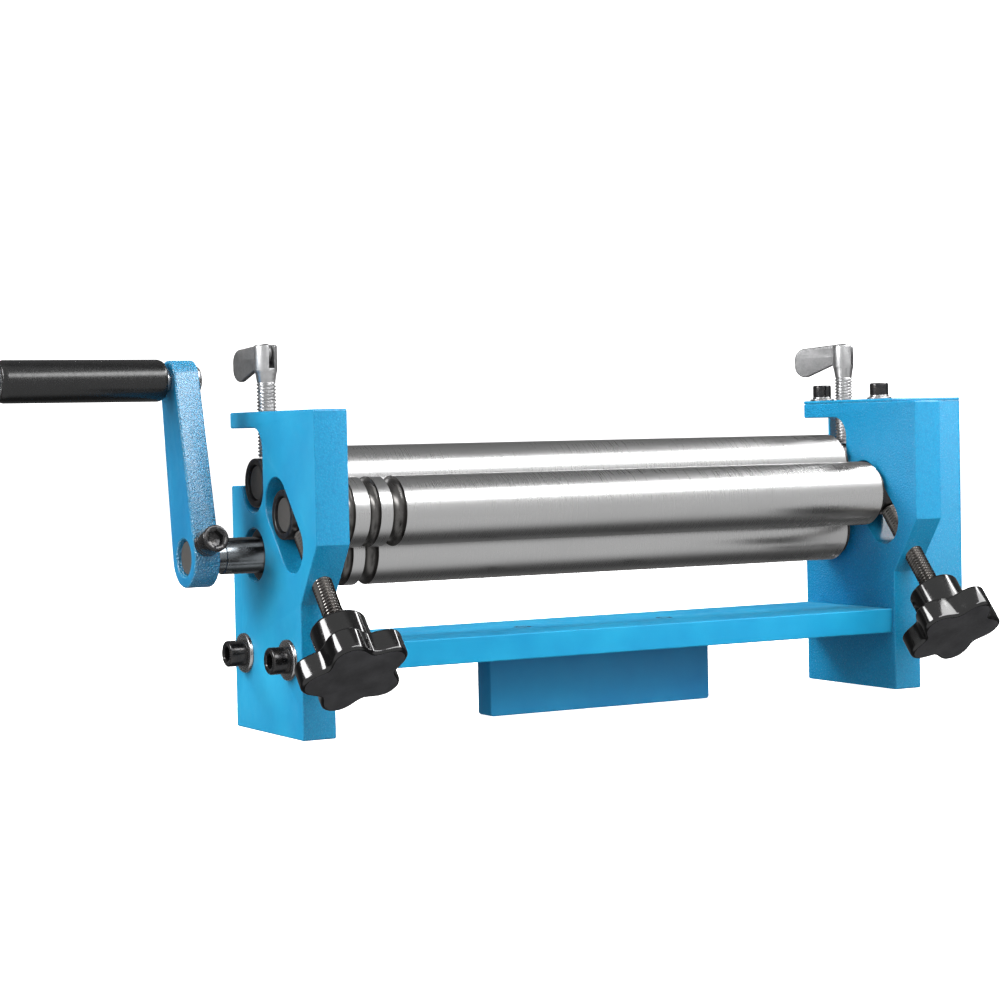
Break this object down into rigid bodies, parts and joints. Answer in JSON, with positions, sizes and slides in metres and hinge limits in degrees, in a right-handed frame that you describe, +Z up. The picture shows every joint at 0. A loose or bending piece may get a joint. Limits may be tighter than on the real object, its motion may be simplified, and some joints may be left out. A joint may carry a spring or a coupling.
{
  "type": "slip roll machine",
  "caption": "Bench slip roll for curving sheet metal, with a geared pinch roll pair, an adjustable front forming roll, wire grooves and a hand crank.",
  "frame": {"origin": "on the bench surface, midway between the side frames and midway along the feet from front to back", "axes": "+X along the rolls from the crank end to the gear end, +Y to the back, +Z up"},
  "size_m": [0.4834, 0.1325, 0.1751],
  "materials": {
    "frame_paint": "mid blue paint, smooth on the outer faces, hammered on the edges",
    "bar_paint": "mid blue hammered paint",
    "cover_paint": "mid blue hammered paint on sheet steel",
    "roll_steel": "ground steel",
    "bush_steel": "blackened steel",
    "gear_steel": "oiled steel",
    "black_oxide": "black oxide",
    "zinc": "bright zinc plating",
    "knob_plastic": "glossy moulded phenolic",
    "grip_plastic": "satin moulded plastic"
  },
  "bodies": {
    "base": {"left_frame": "frame_paint", "right_frame": "frame_paint", "crossbar": "bar_paint", "vise_bar": "bar_paint", "vise_bar_screws": "black_oxide", "frame_bolts": "black_oxide", "frame_washers": "zinc", "gear_cover": "cover_paint", "cover_screws": "black_oxide", "cover_washers": "zinc", "lower_bush_left": "bush_steel", "lower_bush_right": "bush_steel"},
    "drive": {"lower_roll": "roll_steel", "lower_gear": "gear_steel", "lower_gear_key": "gear_steel", "lower_gear_ring": "black_oxide", "crank_arm": "frame_paint", "crank_screw": "black_oxide", "crank_washers": "zinc", "handle_bolt": "zinc"},
    "grip": {"handle_grip": "grip_plastic"},
    "upper_carriage": {"upper_bush_left": "bush_steel", "upper_bush_right": "bush_steel"},
    "pinch_roll": {"upper_roll": "roll_steel", "upper_gear": "gear_steel", "upper_gear_key": "gear_steel", "upper_gear_ring": "black_oxide"},
    "thumb_left": {"thumb_screw_left": "zinc", "leaf_pin_left": "zinc"},
    "thumb_right": {"thumb_screw_right": "zinc", "leaf_pin_right": "zinc"},
    "leaf_left": {"leaf_left": "zinc"},
    "leaf_right": {"leaf_right": "zinc"},
    "front_carriage": {"front_bush_left": "bush_steel", "front_bush_right": "bush_steel"},
    "forming_roll": {"front_roll": "roll_steel"},
    "knob_left": {"star_knob_left": "knob_plastic", "knob_screw_left": "black_oxide"},
    "knob_right": {"star_knob_right": "knob_plastic", "knob_screw_right": "black_oxide"}
  },
  "joints": [
    {"name": "crank_turn", "type": "hinge", "parent": "base", "child": "drive", "pos_m": [0, 0.0125, 0.0798], "axis": [1, 0, 0], "continuous": true},
    {"name": "grip_turn", "type": "hinge", "parent": "drive", "child": "grip", "pos_m": [-0.2428, 0.02736, 0.15922], "axis": [1, 0, 0], "continuous": true},
    {"name": "upper_lift", "type": "slide", "parent": "base", "child": "upper_carriage", "axis": [0, 0, 1], "range_m": [0, 0.003]},
    {"name": "pinch_roll_turn", "type": "hinge", "parent": "upper_carriage", "child": "pinch_roll", "pos_m": [0, 0.0125, 0.1123], "axis": [1, 0, 0], "continuous": true},
    {"name": "front_slide", "type": "slide", "parent": "base", "child": "front_carriage", "axis": [0, -0.6428, -0.766], "range_m": [0, 0.0175]},
    {"name": "forming_roll_turn", "type": "hinge", "parent": "front_carriage", "child": "forming_roll", "pos_m": [0, -0.01688, 0.09841], "axis": [1, 0, 0], "continuous": true},
    {"name": "thumb_left_turn", "type": "hinge", "parent": "upper_carriage", "child": "thumb_left", "pos_m": [-0.1629, 0.0125, 0.15], "axis": [0, 0, 1], "range_deg": [0, 681]},
    {"name": "leaf_left_swing", "type": "hinge", "parent": "thumb_left", "child": "leaf_left", "pos_m": [-0.1629, 0.0125, 0.1709], "axis": [0.9903, 0.1392, 0], "range_deg": [0, 190]},
    {"name": "knob_left_turn", "type": "hinge", "parent": "front_carriage", "child": "knob_left", "pos_m": [-0.1629, -0.01688, 0.09841], "axis": [0, -0.6428, -0.766], "range_deg": [0, 3970]},
    {"name": "thumb_right_turn", "type": "hinge", "parent": "upper_carriage", "child": "thumb_right", "pos_m": [0.1629, 0.0125, 0.15], "axis": [0, 0, 1], "range_deg": [0, 681]},
    {"name": "leaf_right_swing", "type": "hinge", "parent": "thumb_right", "child": "leaf_right", "pos_m": [0.1629, 0.0125, 0.1709], "axis": [0.8704, 0.4924, 0], "range_deg": [0, 190]},
    {"name": "knob_right_turn", "type": "hinge", "parent": "front_carriage", "child": "knob_right", "pos_m": [0.1629, -0.01688, 0.09841], "axis": [0, -0.6428, -0.766], "range_deg": [0, 3970]}
  ],
  "couplings": [
    {"joint": "pinch_roll_turn", "follows": "crank_turn", "ratio": -1},
    {"joint": "thumb_left_turn", "follows": "upper_lift", "rad_per_m": 3957.9},
    {"joint": "thumb_right_turn", "follows": "upper_lift", "rad_per_m": 3957.9},
    {"joint": "knob_left_turn", "follows": "front_slide", "rad_per_m": 3957.9},
    {"joint": "knob_right_turn", "follows": "front_slide", "rad_per_m": 3957.9}
  ]
}
